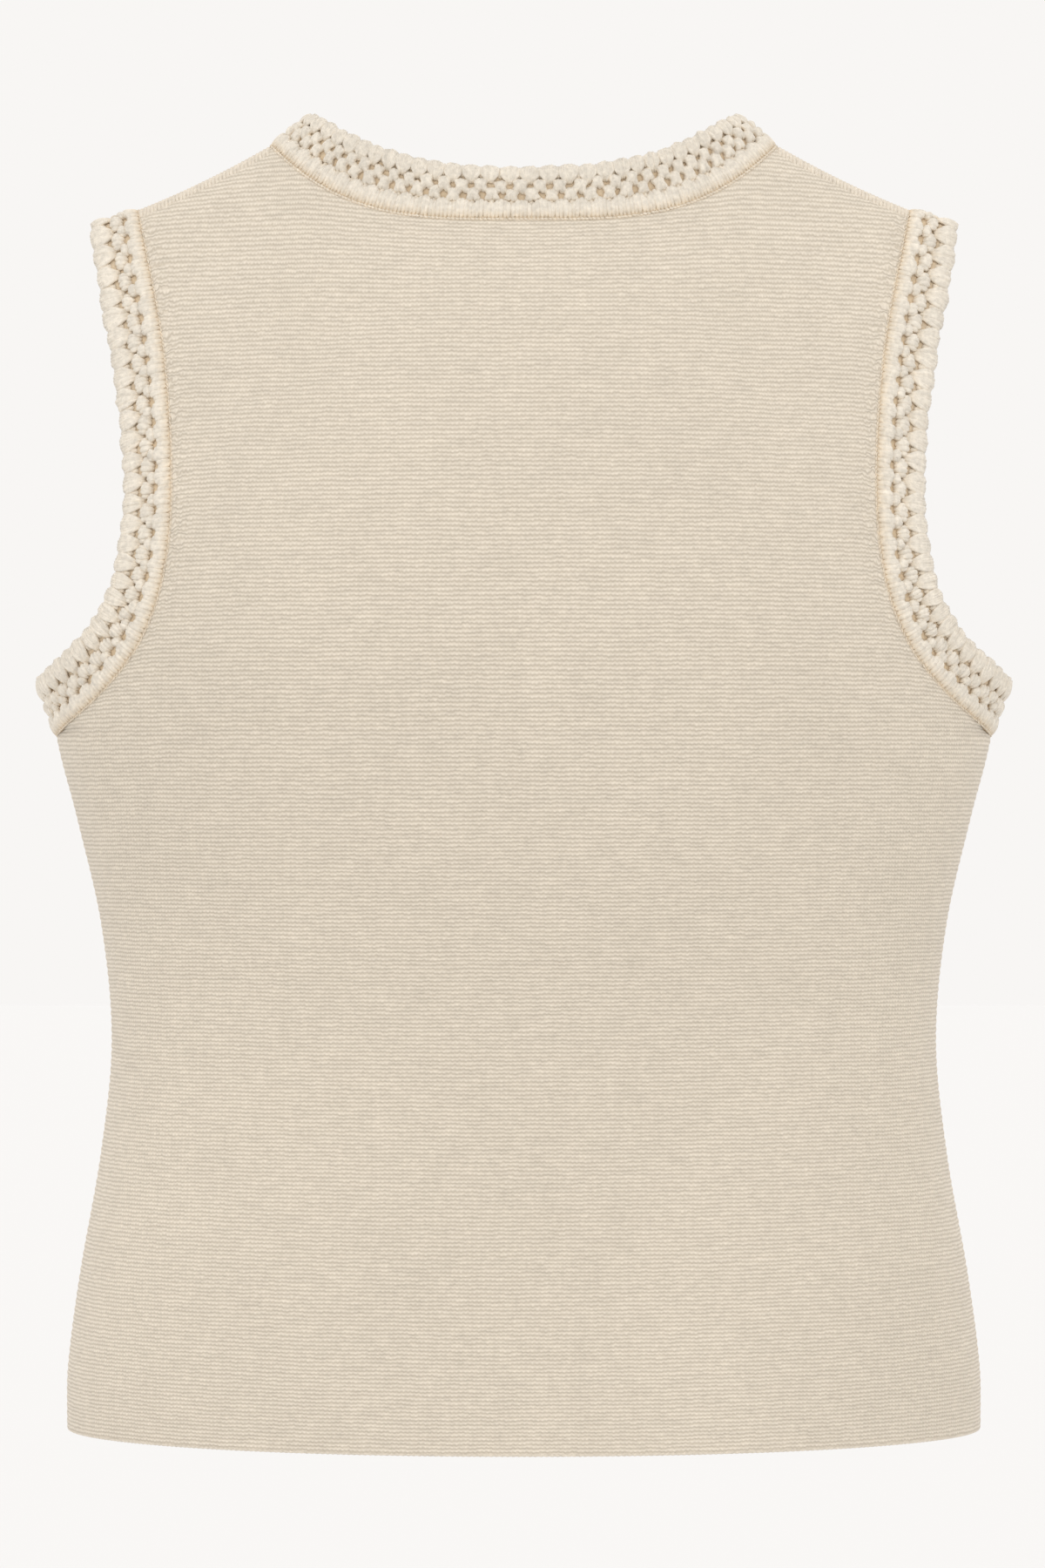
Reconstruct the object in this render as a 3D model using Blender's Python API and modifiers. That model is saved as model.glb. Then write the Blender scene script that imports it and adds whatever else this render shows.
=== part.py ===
"""A woman's sleeveless knitted vest, filled out as if worn, with crochet bands at the neck and armholes.

Run it with blender --background --python part.py, or from Blender's text editor. Lengths are in metres and
+Z is up. The back panel faces -Y and the front panel +Y, so the wearer's right side is at +X. The origin is
midway between the two neck ends of the shoulder seams, where the wearer's shoulders hold the vest up.
"""

import math
from collections import namedtuple

import bmesh
import bpy
from mathutils import Matrix, Vector

OBJECT_NAME = "sweater_vest"

# Cloth and seams.
KNIT_WALL = 0.002
SEAM_GAP = 0.0003

# The garment's outline.
HEM_Z = -0.477
UNDERARM_Z = -0.220
NECK_HALF = 0.0944  # from the middle to the neck end of a shoulder seam
SHOULDER_HALF = 0.1435  # from the middle to the armhole end of it
SHOULDER_DROP = 0.0238  # from its neck end down to its armhole end
SHOULDER_SAG = 0.0011  # how far the middle of the seam lies under the straight line between its ends
FOLD_RADIUS = 0.0090  # of the soft fold that the shoulder seam lies on
BACK_NECK_DROP = 0.0312
FRONT_NECK_DROP = 0.0850
FRONT_ARMHOLE_SCOOP = 0.003  # how much further in the front armhole is cut at its middle

# The body's rings from the hem up: half the width, and how far the back and the front stand out.
Ring = namedtuple("Ring", "z half_width back front")
RINGS = (
    Ring(HEM_Z, 0.1702, 0.1050, 0.1040),
    Ring(-0.455, 0.1699, 0.1035, 0.1040),
    Ring(-0.420, 0.1654, 0.0990, 0.1030),
    Ring(-0.375, 0.1576, 0.0920, 0.1005),
    Ring(-0.333, 0.1536, 0.0890, 0.0995),
    Ring(-0.290, 0.1575, 0.0920, 0.1050),
    Ring(-0.250, 0.1666, 0.0975, 0.1120),
    Ring(UNDERARM_Z, 0.1741, 0.1010, 0.1135),
    Ring(-0.150, 0.1835, 0.1045, 0.1080),
    Ring(-0.050, 0.1860, 0.1040, 0.0940),
    Ring(0.050, 0.1860, 0.1040, 0.0900),
)

# The seam edge of the armhole, seen from behind.
ArmholePoint = namedtuple("ArmholePoint", "z half_width")
ARMHOLE = (
    ArmholePoint(UNDERARM_Z, 0.1741),
    ArmholePoint(-0.205, 0.1550),
    ArmholePoint(-0.187, 0.1400),
    ArmholePoint(-0.162, 0.1308),
    ArmholePoint(-0.127, 0.1282),
    ArmholePoint(-0.077, 0.1325),
    ArmholePoint(-SHOULDER_DROP, SHOULDER_HALF),
)

# The two panels: which way they face, how far below the shoulder line they reach full depth, and the neck.
Panel = namedtuple("Panel", "name facing depth_column rounding neck_drop neck_power armhole_scoop")
BACK = Panel("back_panel", -1, "back", 0.215, BACK_NECK_DROP, 3.4, 0.0)
FRONT = Panel("front_panel", 1, "front", 0.225, FRONT_NECK_DROP, 2.4, FRONT_ARMHOLE_SCOOP)

# How finely a half panel is divided.
BODY_ROWS = 14  # hem to underarm
YOKE_ROWS = 18  # underarm to shoulder
NECK_COLUMNS = 11  # middle to the neck end of the shoulder seam
SHOULDER_COLUMNS = 5  # along the shoulder seam

# Crochet: one row for each line across a band, from the seam to the scalloped edge. Heights stand out of the
# panel's surface, over a stitch and between two stitches, because each round is worked half a stitch on.
CrochetLine = namedtuple("CrochetLine", "across over_stitch between")
CROCHET = (
    CrochetLine(0.00, 0.0003, 0.0003),
    CrochetLine(0.20, 0.0014, 0.0006),
    CrochetLine(0.41, 0.0001, 0.0015),
    CrochetLine(0.63, 0.0016, 0.0001),
    CrochetLine(0.80, 0.0000, 0.0014),
    CrochetLine(1.00, 0.0000, 0.0002),
)
CROCHET_INSIDE = ((1.0, -0.0016), (0.55, -0.0024), (0.0, -0.0021))  # across, and depth under the surface
SCALLOP = 0.0010  # how far a shell at the edge reaches past the dip beside it
COLUMNS_PER_STITCH = 2

# The bands, by how near a place on the edge is to the shoulder seam, as armhole_share and neck_share give it.
# Flare is the mean angle, towards the outside, between the band and the panel's slope.
BandPlace = namedtuple("BandPlace", "share width flare")
ARMHOLE_STITCHES = 60
ARMHOLE_BAND = (
    BandPlace(0.00, 0.0222, math.radians(12)),
    BandPlace(0.20, 0.0222, math.radians(7)),
    BandPlace(0.50, 0.0215, math.radians(-1)),
    BandPlace(0.85, 0.0215, math.radians(1)),
    BandPlace(1.00, 0.0192, math.radians(6)),
)
NECK_STITCHES = 74
NECK_BAND = (
    BandPlace(0.00, 0.0208, math.radians(22)),
    BandPlace(0.16, 0.0226, math.radians(24)),
    BandPlace(0.49, 0.0233, math.radians(23)),
    BandPlace(0.81, 0.0221, math.radians(19)),
    BandPlace(1.00, 0.0197, math.radians(12)),
)

# Finish of each kind of piece: colour, roughness.
KNIT_COLOUR = (0.70, 0.62, 0.51)
CROCHET_COLOUR = (0.80, 0.73, 0.62)
CLOTH_ROUGHNESS = 0.9


def along(table, column, place):
    """Reads a column of a table with a smooth curve through its rows, whose first column is their place."""
    rows = [(row[0], getattr(row, column)) for row in table]
    if place <= rows[0][0]:
        return rows[0][1]
    if place >= rows[-1][0]:
        return rows[-1][1]
    i = next(i for i in range(len(rows) - 1) if place <= rows[i + 1][0])

    def slope(k):
        before, after = rows[max(k - 1, 0)], rows[min(k + 1, len(rows) - 1)]
        return (after[1] - before[1]) / (after[0] - before[0])

    (start, v0), (end, v1) = rows[i], rows[i + 1]
    step = end - start
    t = (place - start) / step
    return (
        v0 * (1 + 2 * t) * (1 - t) ** 2
        + slope(i) * step * t * (1 - t) ** 2
        + v1 * t * t * (3 - 2 * t)
        + slope(i + 1) * step * t * t * (t - 1)
    )


def shoulder_height(x):
    """Height of the shoulder line at x. Inside the neck it is the smooth crown that the line would run on to."""
    length = SHOULDER_HALF - NECK_HALF
    slope = SHOULDER_DROP / length
    inwards = NECK_HALF - abs(x)
    if inwards > 0:
        return slope * inwards * (1 - inwards / (2 * NECK_HALF))
    share = min(-inwards / length, 1)
    return slope * inwards - 4 * SHOULDER_SAG * share * (1 - share)


def depth_squared(panel, x, z):
    """The square of how far a panel stands out at x and z. It is negative just outside the garment.

    Seen from the side the panel is an arch that comes to a soft fold along the shoulder seam.
    """
    side = 1 - (x / along(RINGS, "half_width", z)) ** 2
    down = min(shoulder_height(x) - z, panel.rounding)
    share = down / panel.rounding
    arch = (along(RINGS, panel.depth_column, z) * math.sin(math.pi / 2 * share)) ** 2
    fold = 2 * FOLD_RADIUS * down * (1 - share) ** 2
    return side * (arch + fold)


def surface(panel, x, z):
    """The point of a panel's outer surface at x and z, at least half a seam's gap from the side seam's plane."""
    depth = math.sqrt(max(depth_squared(panel, x, z), 0))
    return Vector((x, panel.facing * max(depth, SEAM_GAP / 2), z))


def outward(panel, point, step=1e-5):
    """The surface's outward normal, from how its squared depth changes."""
    x, y, z = point
    by_x = depth_squared(panel, x + step, z) - depth_squared(panel, x - step, z)
    by_z = depth_squared(panel, x, z + step) - depth_squared(panel, x, z - step)
    return Vector((-by_x / (2 * step), 2 * y, -by_z / (2 * step))).normalized()


def armhole_x(panel, z):
    share = min(max((z - UNDERARM_Z) / (-SHOULDER_DROP - UNDERARM_Z), 0), 1)
    return along(ARMHOLE, "half_width", z) - panel.armhole_scoop * math.sin(math.pi * share) ** 2


def top_height(panel, x):
    """Height of a panel's top edge: the neck's curve, then the shoulder seam."""
    if abs(x) >= NECK_HALF:
        return shoulder_height(x)
    return -panel.neck_drop * (1 - (abs(x) / NECK_HALF) ** panel.neck_power)


def edge_angle(half_width, z):
    """How far round the ring at z a point with this half width lies, from the middle of the panel."""
    return math.asin(min(half_width / along(RINGS, "half_width", z), 1))


TIP_ANGLE = edge_angle(SHOULDER_HALF, -SHOULDER_DROP)
NECK_SHARE = edge_angle(NECK_HALF, 0) / TIP_ANGLE  # the share of the top edge's angle that the neck takes


def body_point(panel, share, z):
    """A point below the underarm, at a share of the way from the middle to the side seam."""
    return surface(panel, along(RINGS, "half_width", z) * math.sin(share * math.pi / 2), z)


def yoke_point(panel, share, rise):
    """A point above the underarm: share goes from the middle to the armhole, rise from underarm to top edge."""
    edge_z = UNDERARM_Z + rise * (-SHOULDER_DROP - UNDERARM_Z)
    top_x = along(RINGS, "half_width", 0) * math.sin(share * TIP_ANGLE)
    z = UNDERARM_Z + rise * (top_height(panel, top_x) - UNDERARM_Z)
    at_edge = edge_angle(armhole_x(panel, edge_z), edge_z)
    inside = TIP_ANGLE + (math.pi / 2 - TIP_ANGLE) * (1 - rise) ** 4
    angle = share * (at_edge + (1 - share**2) * (inside - at_edge))
    return surface(panel, along(RINGS, "half_width", z) * math.sin(angle), z)


def panel_columns():
    """Shares from the middle to the side, closer together where the neck turns into the shoulder."""
    neck = [NECK_SHARE * math.sin(math.pi / 2 * i / NECK_COLUMNS) for i in range(NECK_COLUMNS)]
    shoulder = [NECK_SHARE + (1 - NECK_SHARE) * i / SHOULDER_COLUMNS for i in range(SHOULDER_COLUMNS + 1)]
    return neck + shoulder


def panel_column(panel, share):
    """The points of one column of a panel, from the hem to the neck or shoulder, closest at the underarm."""
    body_rises = [math.sin(math.pi / 2 * i / BODY_ROWS) for i in range(BODY_ROWS)]
    heights = [HEM_Z + (UNDERARM_Z - HEM_Z) * rise for rise in body_rises]
    rises = [(1 - math.cos(math.pi * i / YOKE_ROWS)) / 2 for i in range(YOKE_ROWS + 1)]
    points = [body_point(panel, share, z) for z in heights]
    return points + [yoke_point(panel, share, rise) for rise in rises]


def finished(name, mesh, colour):
    """Makes the mesh an object of the vest with its own material."""
    material = bpy.data.materials.new(name)
    material.use_nodes = True
    shader = material.node_tree.nodes["Principled BSDF"]
    shader.inputs["Base Color"].default_value = (*colour, 1)
    shader.inputs["Roughness"].default_value = CLOTH_ROUGHNESS
    shader.inputs["Metallic"].default_value = 0
    material.diffuse_color = (*colour, 1)
    mesh.materials.append(material)
    mesh.shade_smooth()
    obj = bpy.data.objects.new(name, mesh)
    bpy.data.collections[OBJECT_NAME].objects.link(obj)
    return obj


def make_panel(panel):
    """A knitted panel: its right half as a sheet with an inner face and rims, open at the middle, then mirrored.

    The inner face follows the surface's true normals and stays on the panel's own side of the seams' plane, so
    that the rims at the seams don't meet.
    """
    columns = [panel_column(panel, share) for share in panel_columns()]
    across, up = len(columns) - 1, len(columns[0]) - 1
    wall = bmesh.new()
    bmesh.ops.create_grid(wall, x_segments=across, y_segments=up, size=0.5)
    for vertex in wall.verts:
        column, row = round((vertex.co.x + 0.5) * across), round((vertex.co.y + 0.5) * up)
        vertex.co = columns[column][row]
    if panel.facing > 0:
        bmesh.ops.reverse_faces(wall, faces=wall.faces)
    inner = bmesh.ops.duplicate(wall, geom=wall.verts[:] + wall.edges[:] + wall.faces[:])["geom"]
    for vertex in inner:
        if isinstance(vertex, bmesh.types.BMVert):
            vertex.co -= outward(panel, vertex.co) * KNIT_WALL
            vertex.co.y = panel.facing * max(panel.facing * vertex.co.y, SEAM_GAP / 2)
    bmesh.ops.reverse_faces(wall, faces=[face for face in inner if isinstance(face, bmesh.types.BMFace)])
    rims = [edge for edge in wall.edges if edge.is_boundary and max(v.co.x for v in edge.verts) > SEAM_GAP]
    bmesh.ops.bridge_loops(wall, edges=rims)
    mesh = bpy.data.meshes.new(panel.name)
    wall.to_mesh(mesh)
    wall.free()
    obj = finished(panel.name, mesh, KNIT_COLOUR)
    mirror = obj.modifiers.new("Left half", "MIRROR")
    mirror.merge_threshold = 0.0001
    return obj


def armhole_edge():
    """The right armhole's seam edge from the underarm up the back and down the front, with its normals."""
    back, front = (
        [(panel, point) for point in panel_column(panel, 1.0) if point.z >= UNDERARM_Z]
        for panel in (BACK, FRONT)
    )
    return [(point, outward(panel, point)) for panel, point in back + front[::-1]]


def neck_edge():
    """The neck's seam edge from the right shoulder across the back and round the front, with its normals."""
    edge = []
    for panel, first_side in ((BACK, 1), (FRONT, -1)):
        half = [yoke_point(panel, share, 1.0) for share in panel_columns()[: NECK_COLUMNS + 1]]
        for side, points in ((first_side, half[::-1]), (-first_side, half[1:])):
            for point in points:
                normal = outward(panel, point)
                edge.append((Vector((side * point.x, *point.yz)), Vector((side * normal.x, *normal.yz))))
    return edge


def evenly_spaced(edge, count):
    """The closed edge again as count places the same length apart: point, direction along it, and normal."""
    ends = edge[1:] + edge[:1]
    lengths = [(b[0] - a[0]).length for a, b in zip(edge, ends)]
    step = sum(lengths) / count
    places, i, start = [], 0, 0.0
    for k in range(count):
        while start + lengths[i] < k * step:
            start += lengths[i]
            i += 1
        t = (k * step - start) / lengths[i]
        point = edge[i][0].lerp(ends[i][0], t)
        places.append((point, edge[i][1].lerp(ends[i][1], t).normalized()))
    return [
        (point, (places[(k + 1) % count][0] - places[k - 1][0]).normalized(), normal)
        for k, (point, normal) in enumerate(places)
    ]


def armhole_share(point):
    """How far a point of the armhole's edge is from the underarm to the shoulder."""
    return (point.z - UNDERARM_Z) / (-SHOULDER_DROP - UNDERARM_Z)


def neck_share(point):
    """The square of how far a point of the neck's edge is from the middle to the shoulder seam."""
    return (point.x / NECK_HALF) ** 2


def make_band(name, edge, stitches, band, share_of, mirrored=False):
    """A crochet band: a ring of sections that carry on the panel's slope past its edge and flare outwards."""
    sections = []
    for k, (point, tangent, normal) in enumerate(evenly_spaced(edge, stitches * COLUMNS_PER_STITCH)):
        width, flare = (along(band, column, share_of(point)) for column in ("width", "flare"))
        over = k % COLUMNS_PER_STITCH == 0
        away = tangent.cross(normal).normalized()
        reach = width - SEAM_GAP - (SCALLOP if over else 0)

        def place(across, height):
            # The slope turns by the flare soon after the seam, so the middle line is stepped along.
            at, steps = point + away * SEAM_GAP, 8
            for n in range(steps):
                turn = 1.5 * flare * (1 - (1 - across * (n + 0.5) / steps) ** 2)
                at = at + (away * math.cos(turn) + normal * math.sin(turn)) * reach * across / steps
            turn = 1.5 * flare * (1 - (1 - across) ** 2)
            return at + (normal * math.cos(turn) - away * math.sin(turn)) * height

        outside = [place(line.across, line.over_stitch if over else line.between) for line in CROCHET]
        inside = [place(across, depth) for across, depth in CROCHET_INSIDE]
        sections.append(outside + inside)
    ring = bmesh.new()
    loops = [[ring.verts.new(point) for point in section] for section in sections]
    for first, second in zip(loops, loops[1:] + loops[:1]):
        for j in range(len(first)):
            ring.faces.new((first[j - 1], first[j], second[j], second[j - 1]))
    if mirrored:
        ring.transform(Matrix.Scale(-1, 4, (1, 0, 0)))
    bmesh.ops.recalc_face_normals(ring, faces=ring.faces)
    mesh = bpy.data.meshes.new(name)
    ring.to_mesh(mesh)
    ring.free()
    return finished(name, mesh, CROCHET_COLOUR)


def clear_scene():
    for obj in list(bpy.data.objects):
        bpy.data.objects.remove(obj, do_unlink=True)


def main():
    clear_scene()
    collection = bpy.data.collections.new(OBJECT_NAME)
    bpy.context.scene.collection.children.link(collection)
    make_panel(BACK)
    make_panel(FRONT)
    armhole = armhole_edge()
    make_band("armhole_band_right", armhole, ARMHOLE_STITCHES, ARMHOLE_BAND, armhole_share)
    make_band("armhole_band_left", armhole, ARMHOLE_STITCHES, ARMHOLE_BAND, armhole_share, mirrored=True)
    make_band("neck_band", neck_edge(), NECK_STITCHES, NECK_BAND, neck_share)


main()
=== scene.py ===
"""Looks of a sleeveless knitted vest: fine knit panels, and thick crochet bands at its neck and armholes.

Lengths are in metres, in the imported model's frame: +Z up, the back panel towards -Y, the wearer's right
side at +X. The first tables are the garment's cut, as its solids have it. The other sizes follow from them.
"""

import math
from collections import namedtuple
from contextlib import contextmanager

import bmesh
import bpy
import numpy as np
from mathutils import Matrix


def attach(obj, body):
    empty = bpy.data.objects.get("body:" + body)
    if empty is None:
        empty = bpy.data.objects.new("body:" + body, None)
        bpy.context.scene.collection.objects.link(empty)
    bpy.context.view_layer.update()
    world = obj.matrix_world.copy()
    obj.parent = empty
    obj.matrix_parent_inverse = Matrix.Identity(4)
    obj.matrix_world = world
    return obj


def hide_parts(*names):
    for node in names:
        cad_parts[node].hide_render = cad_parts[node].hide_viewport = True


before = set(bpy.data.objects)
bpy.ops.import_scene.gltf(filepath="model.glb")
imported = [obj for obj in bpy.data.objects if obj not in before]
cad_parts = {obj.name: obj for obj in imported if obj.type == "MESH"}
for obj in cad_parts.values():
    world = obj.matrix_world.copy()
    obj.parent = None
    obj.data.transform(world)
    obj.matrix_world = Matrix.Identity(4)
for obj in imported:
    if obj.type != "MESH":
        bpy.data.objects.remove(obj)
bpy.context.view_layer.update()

bl_info = {
    "name": "Knitted vest with crochet bands",
    "version": (1, 0, 0),
    "blender": (4, 5, 0),
    "location": "3D View > Sidebar > Vest",
    "description": "Models a fine-knit sleeveless vest with crochet bands at its neck and armholes",
    "category": "Mesh",
}


def table_of(fields, *rows):
    """Rows of values that go by the names of the fields."""
    row_type = namedtuple("Row", fields)
    return tuple(row_type(*row) for row in rows)


# The cut: the outline, as the solids have it.
SEAM_GAP = 0.0003
HEM_Z = -0.477
UNDERARM_Z = -0.220
NECK_HALF = 0.0944
SHOULDER_HALF = 0.1435
SHOULDER_DROP = 0.0238
SHOULDER_SAG = 0.0011
FOLD_RADIUS = 0.0090
ARMHOLE_HEIGHT = -SHOULDER_DROP - UNDERARM_Z

RINGS = table_of(
    "z half_width back front",
    (HEM_Z, 0.1702, 0.1050, 0.1040),
    (-0.455, 0.1699, 0.1035, 0.1040),
    (-0.420, 0.1654, 0.0990, 0.1030),
    (-0.375, 0.1576, 0.0920, 0.1005),
    (-0.333, 0.1536, 0.0890, 0.0995),
    (-0.290, 0.1575, 0.0920, 0.1050),
    (-0.250, 0.1666, 0.0975, 0.1120),
    (UNDERARM_Z, 0.1741, 0.1010, 0.1135),
    (-0.150, 0.1835, 0.1045, 0.1080),
    (-0.050, 0.1860, 0.1040, 0.0940),
    (0.050, 0.1860, 0.1040, 0.0900),
)
ARMHOLE = table_of(
    "z half_width",
    (UNDERARM_Z, 0.1741),
    (-0.205, 0.1550),
    (-0.187, 0.1400),
    (-0.162, 0.1308),
    (-0.127, 0.1282),
    (-0.077, 0.1325),
    (-SHOULDER_DROP, SHOULDER_HALF),
)

# The bands, by how near a place on the edge is to the shoulder seam. Flare is in degrees, outwards.
BAND_FIELDS = "share width flare"
ARMHOLE_STITCHES = 60
ARMHOLE_BAND = table_of(
    BAND_FIELDS,
    (0.00, 0.0222, 12),
    (0.20, 0.0222, 7),
    # knit_light is painted light on the tops of the knitted loops
    (0.50, 0.0215, -1),
    (0.85, 0.0215, 1),
    (1.00, 0.0192, 6),
)
# knit_shade is painted shade in the grooves between the knitted rows
NECK_STITCHES = 74
NECK_BAND = table_of(
    BAND_FIELDS,
    (0.00, 0.0208, 22),
    (0.16, 0.0226, 24),
    (0.49, 0.0233, 23),
    (0.81, 0.0221, 19),
    (1.00, 0.0197, 12),
)

# How finely half a panel is divided, and how near each other its last two lines are: at the sides as a share
# of the way to the edge, and at the hem.
NECK_COLUMNS = 40
SHOULDER_COLUMNS = 20
BODY_ROWS = 88
YOKE_ROWS = 84
EDGE_SHARE = 0.0015
EDGE_ROW = 0.0003

# Soft creases of the worn cloth. Angle is anticlockwise from level as each panel is faced, and depth is
# negative for a trough. Places are across from the middle and up from the origin.
CREASE_FIELDS = "across up angle length width depth"
BACK_CREASES = table_of(
    CREASE_FIELDS,
    (-0.066, -0.082, 52, 0.075, 0.016, -0.0010),
    (-0.092, -0.112, 40, 0.060, 0.013, 0.0007),
    (0.070, -0.080, -50, 0.080, 0.018, -0.0011),
    (0.095, -0.118, -38, 0.055, 0.012, 0.0006),
    (-0.118, -0.232, 24, 0.070, 0.014, -0.0009),
    (0.122, -0.238, -20, 0.062, 0.012, -0.0008),
    (-0.108, -0.318, 8, 0.065, 0.013, -0.0009),
    (0.112, -0.326, -10, 0.058, 0.012, -0.0010),
    (-0.050, -0.345, 5, 0.080, 0.018, 0.0007),
    (0.046, -0.420, 84, 0.085, 0.022, -0.0010),
    (-0.082, -0.432, 96, 0.070, 0.020, 0.0009),
)
FRONT_CREASES = table_of(
    CREASE_FIELDS,
    (-0.088, -0.142, 48, 0.070, 0.015, -0.0010),
    (0.083, -0.150, -52, 0.078, 0.017, -0.0009),
    (-0.116, -0.236, 28, 0.066, 0.013, -0.0009),
    (0.120, -0.230, -24, 0.070, 0.014, -0.0010),
    (-0.105, -0.322, 10, 0.060, 0.012, -0.0010),
    (0.108, -0.314, -7, 0.068, 0.013, -0.0008),
    (0.030, -0.350, -4, 0.085, 0.018, 0.0006),
    (-0.040, -0.425, 82, 0.080, 0.022, -0.0010),
    (0.078, -0.436, 97, 0.066, 0.020, 0.0008),
)
CREASE_BOW = 0.12  # how far a crease bows, in its lengths
CREASE_TOP_FADE = 0.03  # how far from the top edge and from the hem a crease is at its full depth
CREASE_HEM_FADE = 0.02
CREASE_AT_HEM = 0.35  # how deep it still is at the hem, as a share

# The panels. Flat is the width and length of the piece as it is knitted, and area is how much cloth it is.
Panel = namedtuple(
    "Panel", "node facing depth_column rounding neck_drop neck_power armhole_scoop creases flat area"
)
BACK = Panel("back_panel", -1, "back", 0.215, 0.0312, 3.4, 0.0, BACK_CREASES, (0.44, 0.50), 0.180)
FRONT = Panel("front_panel", 1, "front", 0.225, 0.0850, 2.4, 0.003, FRONT_CREASES, (0.45, 0.50), 0.176)
BOTH_WAYS = ((BACK, 1), (FRONT, -1))  # the panels as a line goes round them, and which way it goes
KNIT_WALL = 0.0018

# How the knitting's courses run over the shaped cloth. Spread is how far apart they lie, in courses.
COURSE_SPREAD = table_of(
    "z spread",
    (HEM_Z, 0.85),
    (-0.400, 0.91),
    (-0.275, 0.92),
    (-0.220, 1.00),
    (-0.100, 1.03),
    (-0.030, 1.16),
    (0.010, 1.19),
)
COURSE_SAMPLES = 400
FOLD_EXTRA = 0.004  # extra cloth over the fold of the shoulders, and how fast it ends below
FOLD_FADE = 0.004
NECK_DIP = 0.006  # how far the courses dip under the middle of the neck
NECK_DIP_HALF = 0.080
NECK_DIP_FADE = 0.020
CRINKLE_REACH = 0.0045  # how far from the armhole's edge the knitting is crinkled
CRINKLE_START = 0.02  # how far above the underarm that begins, and how much higher it is at its most
CRINKLE_RISE = 0.05
ARMHOLE_DROOP = 0.0012
ARMHOLE_DROOP_FADE = 0.0035

# The knit's pattern, in wales and courses, and the yarn's relief, in heights of its loose fibres.
WALE_DRIFT = 0.9
COURSE_DRIFT = 0.55
COURSE_SHIVER = 0.60
CRINKLED_SHIVER = 2.2
LOOP_ARCH = 0.07
LOOP_DIP = 0.17  # how much fainter a row is between its loops
ROUNDNESS = 0.75  # of rows and of the yarn's shading: under 1 is fuller
STREAK_LENGTH = 9.0  # along the courses, as against across them
KNIT_FUZZ = 0.30  # in heights of a loop
PLY_HEIGHT = 0.25
CRINKLE_HEIGHT = 1.6

# Mottling of a finish: a noise's scale, detail and roughness, its usual span, and the brightness there.
Mottle = namedtuple("Mottle", "noise span brightness")
# broad painted soft shade over the cloth
KNIT_PAINTED_SOFT_SHADE = Mottle((9.0, 3.0, 0.55), (0.3, 0.7), (0.972, 1.022))
KNIT_BLOTCH = Mottle((170.0, 2.0, 0.6), (0.25, 0.75), (0.965, 1.035))
KNIT_STREAK = Mottle((65.0, 2.0, 0.5), (0.25, 0.75), (0.955, 1.045))
KNIT_GRAIN = Mottle((520.0, 3.0, 0.6), (0.2, 0.8), (0.91, 1.08))
YARN_GRAIN = Mottle((650.0, 3.0, 0.6), (0.2, 0.8), (0.93, 1.06))
# YARN_CRINKLE's noise also raises the yarn in its bump, so its brightening is painted light on the crinkles
YARN_CRINKLE = Mottle((620.0, 2.0, 0.5), (0.3, 0.7), (0.90, 1.10))
# INSIDE_FIBRES' noise also raises the backing in its bump, so its brightening is painted light on the fibres
INSIDE_FIBRES = Mottle((900.0, 3.0, 0.6), (0.2, 0.8), (0.90, 1.08))

# Crochet. A strand's place is (in stitches along the band, mm away from the seam, mm out of the surface).
# Its girth is in strand radii, at its start and at its end. A row's turn is how far its stitches lean at
# random, in radians, and its sway is how far they stray.
Strand = namedtuple("Strand", "start end places")
CrochetRow = namedtuple("CrochetRow", "strands turn sway")
MM = 0.001
BAND_REACH = 22.6  # mm from the seam to the tip of a shell at the band's edge
STITCH = 7.2  # mm, of a stitch as the strands below are laid out
STRAND_RADIUS = 0.66  # mm
STRAND_TAPER = 0.45  # how soon a strand is at its full girth
STRAND_SIDES = 7
STRAND_RINGS = 8
NECK_CHAIN = 0.80  # how thick the chain at a band's seam is, in strand radii
ARMHOLE_CHAIN = 0.50
CHAIN_LINKS = 5  # per stitch
BACKING_COLUMNS = 4  # per stitch
FRAMES_PER_STITCH = 8
FLARE_STEPS = 12

# How far a row's stitch strays as a whole, and how far each of its strands does.
Stray = namedtuple("Stray", "stitch strand")
SIZE_STRAY = 0.05
ALONG_STRAY = Stray(0.025, 0.012)  # in stitches
AWAY_STRAY = Stray(0.24, 0.10)  # in mm, in full only from this far out, as the seam holds the stitches
FREE_FROM = 4
HEIGHT_STRAY = Stray(0.07, 0.09)  # as a share of the height, and in mm
TONE_STRAY = Stray(0.018, 0.026)

# Painted shade by the yarn's height in mm, counted lower near the seam and higher out at the band's edge.
SEAM_SHADE = 0.7
SEAM_SHADE_REACH = 5
EDGE_LIGHT = 0.6  # per mm
EDGE_LIGHT_START = 18

# Lines of a band's backing: mm away from the seam, and mm out over a stitch's middle and between stitches.
# the backing's heights also set its painted shade
BACKING = table_of(
    "across over_stitch between",
    (-0.25, 0.0, 0.0),
    (1.2, 0.15, 0.15),
    (4.0, 0.0, -0.1),
    (7.5, -0.4, -0.3),
    (13.4, -0.2, -0.3),
    (15.8, -0.2, -0.2),
    (18.5, -0.1, -0.1),
    (20.0, -0.9, -0.9),
    (19.9, -2.0, -2.4),
    (17.3, -1.7, -2.5),
    (15.0, -2.9, -2.0),
    (12.5, -2.2, -1.8),
    (10.6, -2.0, -2.9),
    (8.9, -1.9, -2.1),
    (5.0, -2.8, -2.3),
    (1.0, -2.0, -1.9),
    (0.0, -1.6, -1.6),
)

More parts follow.
